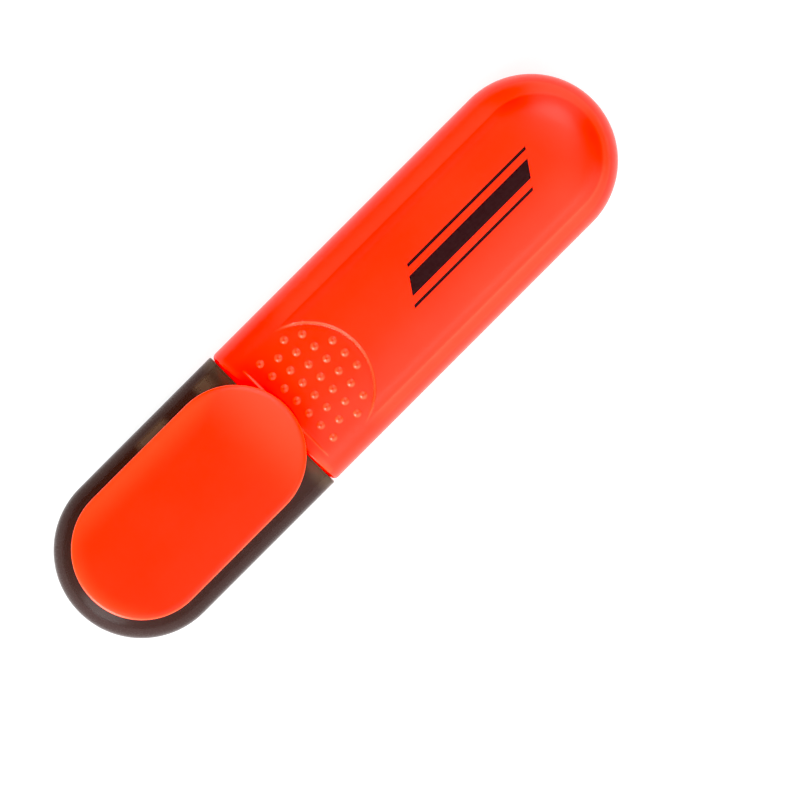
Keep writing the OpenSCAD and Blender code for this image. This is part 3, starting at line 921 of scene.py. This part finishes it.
def front_ring(x, half, rise, power, count=96):
    """A closed ring across the pen: a circle at power 2, squarer above it."""
    a = np.linspace(0, 2 * math.pi, count, endpoint=False)
    c, s = np.cos(a), np.sin(a)
    return np.column_stack([np.full(count, x), half * np.sign(c) * np.abs(c) ** (2 / power),
                            MID_Z + rise * np.sign(s) * np.abs(s) ** (2 / power)])


def flare_at(t, inset):
    """The flare's ring at a share t of its length."""
    grow = (1 - math.sqrt(1 - (FLARE_CURVE * t) ** 2)) / (1 - math.sqrt(1 - FLARE_CURVE ** 2))
    half = NOZZLE_RADIUS + (FLARE_END_HALF - NOZZLE_RADIUS) * grow - inset
    rise = NOZZLE_RADIUS + (FLARE_END_CROWN - NOZZLE_RADIUS) * grow - inset
    return front_ring(FLARE_X + FLARE_LENGTH * t, half, rise, 2 + (SQUARENESS - 2) * t)


def make_front_section():
    material = clear_orange()
    shape = Shape()
    rings = []
    ease = 0.45
    for turn in np.linspace(0, 90, 6):
        a = math.radians(turn)
        radius = NOZZLE_RADIUS - ease * (1 - math.sin(a))
        rings.append(front_ring(NOZZLE_X + ease * (1 - math.cos(a)), radius, radius, 2))
    for x in np.linspace(NOZZLE_X + ease, FLARE_X, 8)[1:-1]:
        rings.append(front_ring(x, NOZZLE_RADIUS, NOZZLE_RADIUS, 2))
    for t in np.linspace(0, 1, 40):
        rings.append(flare_at(t, 0))
    lip = 0.15
    rings.append(front_ring(COLLAR_X, COLLAR_HALF - lip, COLLAR_CROWN - lip, SQUARENESS))
    rings.append(front_ring(COLLAR_X + lip, COLLAR_HALF, COLLAR_CROWN, SQUARENESS))
    rings.append(front_ring(MOUTH_X, COLLAR_HALF, COLLAR_CROWN, SQUARENESS))
    plug_half, plug_crown = CAVITY_HALF - PLUG_PLAY, CAVITY_CROWN - PLUG_PLAY
    for x, wall in ((MOUTH_X, 0), (MOUTH_X + PLUG_LENGTH, 0), (MOUTH_X + PLUG_LENGTH, PLUG_WALL),
                    (MOUTH_X, PLUG_WALL)):
        rings.append(front_ring(x, plug_half - wall, plug_crown - wall, SQUARENESS))
    for t in np.linspace(1, 0.22, 26):
        rings.append(flare_at(t, FLARE_WALL))
    shape.grid(np.array(rings), closed=True)
    shape.fan(rings[-1], (rings[-1][0][0], 0, MID_Z))
    shape.fan(rings[0], (NOZZLE_X, 0, MID_Z))
    body = shape.piece("front_moulding", material)
    for number, part in enumerate(front_inner_parts()):
        cut_or_join(body, part.piece(f"front_part_{number}", material), "UNION")
    channel = Shape()
    wide, tall = NIB_HALF + CHANNEL_PLAY, NIB_TALL + CHANNEL_PLAY
    add_box(channel, (NOZZLE_X - 1, -wide, MID_Z - tall), (MOUTH_X + PLUG_LENGTH + 1, wide, MID_Z + tall))
    cut_or_join(body, channel.piece("front_channel", material), "DIFFERENCE")
    soften(body, SHARP_ANGLE)
    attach(body, "pen")
    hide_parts("front_section")


def add_box(shape, low, high):
    outline = ((low[1], low[2]), (high[1], low[2]), (high[1], high[2]), (low[1], high[2]))
    near, far = (np.array([(x, y, z) for y, z in outline]) for x in (low[0], high[0]))
    shape.prism(near, far)


def front_inner_parts():
    """The nib's channel and the two webs that tie it to the flare, one on each side."""
    channel = Shape()
    wide, tall = NIB_HALF + CHANNEL_WALL, NIB_TALL + CHANNEL_WALL
    add_box(channel, (FLARE_X + 1, -wide, MID_Z - tall), (MOUTH_X + 4.6, wide, MID_Z + tall))
    yield channel
    tall = COLLAR_CROWN - 1.9
    reach = WEB_LENGTH - 0.1
    for side in (1, -1):
        web = Shape()
        start = np.array([COLLAR_X - WEB_LENGTH, side * (NIB_HALF + 0.5)])
        end = start + [reach, side * reach * WEB_LEAN]
        thick = np.array([-WEB_LEAN * side, 1]) / math.hypot(WEB_LEAN, 1) * WEB_HALF_THICKNESS
        outline = [start - thick, end - thick, end + thick, start + thick]
        low = np.array([(x, y, MID_Z - tall) for x, y in outline])
        high = np.array([(x, y, MID_Z + tall) for x, y in outline])
        web.prism(low, high)
        inside = Shape()
        rings = [flare_at(t, FLARE_WALL * 0.5) for t in np.linspace(0.2, 1, 20)]
        inside.grid(np.array(rings), closed=True)
        inside.fan(rings[0], (rings[0][0][0], 0, MID_Z))
        inside.fan(rings[-1], (rings[-1][0][0], 0, MID_Z))
        yield Trimmed(web, inside)


class Trimmed:
    """A shape that is cut to the space inside another when it is made."""

    def __init__(self, shape, room):
        self.shape = shape
        self.room = room

    def piece(self, name, material):
        made = self.shape.piece(name, material)
        cut_or_join(made, self.room.piece(name + "_room", material), "INTERSECT")
        return made


def cut_or_join(target, tool, operation):
    """Applies a boolean to target and removes the tool."""
    modifier = target.modifiers.new("work", "BOOLEAN")
    modifier.operation = operation
    modifier.solver = "MANIFOLD"
    modifier.object = tool
    bpy.context.view_layer.update()
    done = target.evaluated_get(bpy.context.evaluated_depsgraph_get())
    mesh = bpy.data.meshes.new_from_object(done)
    target.modifiers.clear()
    target.data = mesh
    bpy.data.objects.remove(tool)


def soften(target, sharp_angle):
    """Smooth shading with hard edges only where the surface turns sharply."""
    work = bmesh.new()
    work.from_mesh(target.data)
    smooth_faces(work, sharp_angle)
    work.to_mesh(target.data)
    work.free()


def make_nib():
    """A chisel nib: a slab with a slanted, bevelled writing edge."""
    tip, tail = NIB_LOW[0], NIB_HIGH[0]
    half, tall = NIB_HALF, NIB_TALL
    body_end = tail - 7
    plan = np.array([(tip, 1.8), (tip + 1.2, half - 0.45), (tip + 2.8, half), (body_end, half), (tail, 1.3),
                     (tail, -1.3), (body_end, -half), (tip + 3.1, -half), (tip + 1.55, -2.25)])
    side = np.array([(tip, -tall + 1.4), (tip + 4.2, tall), (body_end, tall), (tail, 1.3), (tail, -1.3),
                     (body_end, -tall), (tip + 1.4, -tall), (tip, -tall + 0.5)])
    from_above = Shape()
    low = np.array([(x, y, MID_Z - tall - 1) for x, y in plan])
    high = low + [0, 0, 2 * tall + 2]
    from_above.prism(low, high)
    from_side = Shape()
    near = np.array([(x, -half - 1, MID_Z + z) for x, z in side])
    far = near + [0, 2 * half + 2, 0]
    from_side.prism(near, far)
    material = felt()
    made = from_above.piece("chisel_nib", material)
    cut_or_join(made, from_side.piece("nib_side", material), "INTERSECT")
    work = bmesh.new()
    work.from_mesh(made.data)
    bmesh.ops.dissolve_limit(work, angle_limit=math.radians(1), verts=work.verts, edges=work.edges)
    hard = [e for e in work.edges if e.calc_face_angle(0) > math.radians(8)]
    bmesh.ops.bevel(work, geom=hard, offset=0.16 * MM, segments=3, profile=0.5, affect="EDGES")
    work.to_mesh(made.data)
    work.free()
    soften(made, 40)
    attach(made, "pen")
    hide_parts("nib")


# ---------------------------------------------------------------- hidden CAD nodes that stay

def paint_cad_nodes():
    for node, material in (("inner_cap", liner_plastic()), ("ink_core", soaked_fibre()),
                           ("core_film", clear_film())):
        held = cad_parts[node]
        held.data.materials.clear()
        held.data.materials.append(material)
        for polygon in held.data.polygons:
            polygon.use_smooth = False


# ---------------------------------------------------------------- floor, light and camera

VIEW_WIDTH = 125.0
VIEW_TURN = math.radians(45)
VIEW_OFFSET = (10.0, -6.9)
LENS = 500.0
SENSOR = 36.0
BLACK_POINT = 0.045


def make_floor():
    size = 8.0
    mesh = bpy.data.meshes.new("floor")
    corners = [(-size, -size, 0), (size, -size, 0), (size, size, 0), (-size, size, 0)]
    mesh.from_pydata(corners, [], [(0, 1, 2, 3)])
    mesh.materials.append(floor_paint())
    made = bpy.data.objects.new("floor", mesh)
    made.location.z = cad_box[0].z - 0.01 * MM
    bpy.context.scene.collection.objects.link(made)


def add_softbox(name, azimuth, zenith, spread, brightness):
    """A round soft light far away: its direction and its width in degrees, and how bright its face looks."""
    data = bpy.data.lights.new(name, "SUN")
    data.energy = brightness * math.pi * math.sin(math.radians(spread / 2)) ** 2
    data.angle = math.radians(spread)
    lamp = bpy.data.objects.new(name, data)
    lamp.rotation_euler = (0, math.radians(zenith), math.radians(azimuth))
    bpy.context.scene.collection.objects.link(lamp)


# Each light's name, azimuth, zenith angle, spread and brightness.
SOFTBOXES = [
    ("cap_side", -168, 70, 36, 18.0),
    ("near_side", -62, 42, 70, 0.45),
    ("near_side_2", -122, 42, 72, 1.05),
    ("near_low", -78, 72, 50, 1.2),
    ("rear_side", 20, 42, 32, 3.8),
    ("rear_high", 10, 22, 28, 1.3),
    ("rear_low", 22, 73, 50, 1.3),
    ("far_side", 95, 36, 40, 0.5),
    ("far_low", 95, 62, 34, 0.7),
]
WORLD_STRENGTH = 0.05


def make_lights():
    for light in SOFTBOXES:
        add_softbox(*light)
    world = bpy.data.worlds.new("studio")
    world.use_nodes = True
    world.node_tree.nodes["Background"].inputs["Color"].default_value = (1, 1, 1, 1)
    world.node_tree.nodes["Background"].inputs["Strength"].default_value = WORLD_STRENGTH
    bpy.context.scene.world = world
    view = bpy.context.scene.view_settings
    view.view_transform = "Standard"
    view.use_curve_mapping = True
    view.curve_mapping.black_level = (BLACK_POINT, BLACK_POINT, BLACK_POINT)
    view.curve_mapping.update()


def make_camera():
    data = bpy.data.cameras.new("camera")
    data.lens = LENS
    data.sensor_width = SENSOR
    data.clip_end = 100
    camera = bpy.data.objects.new("camera", data)
    right = np.array([math.cos(VIEW_TURN), -math.sin(VIEW_TURN)])
    up = np.array([math.sin(VIEW_TURN), math.cos(VIEW_TURN)])
    aim = VIEW_OFFSET[0] * right + VIEW_OFFSET[1] * up
    distance = VIEW_WIDTH * LENS / SENSOR
    camera.location = Vector((aim[0], aim[1], MID_Z + distance)) * MM
    camera.rotation_euler = (0, 0, -VIEW_TURN)
    bpy.context.scene.collection.objects.link(camera)
    bpy.context.scene.camera = camera


make_camera()
make_barrel()
make_print()
make_cap_shell()
make_clip()
make_front_section()
make_nib()
paint_cad_nodes()
make_floor()
make_lights()
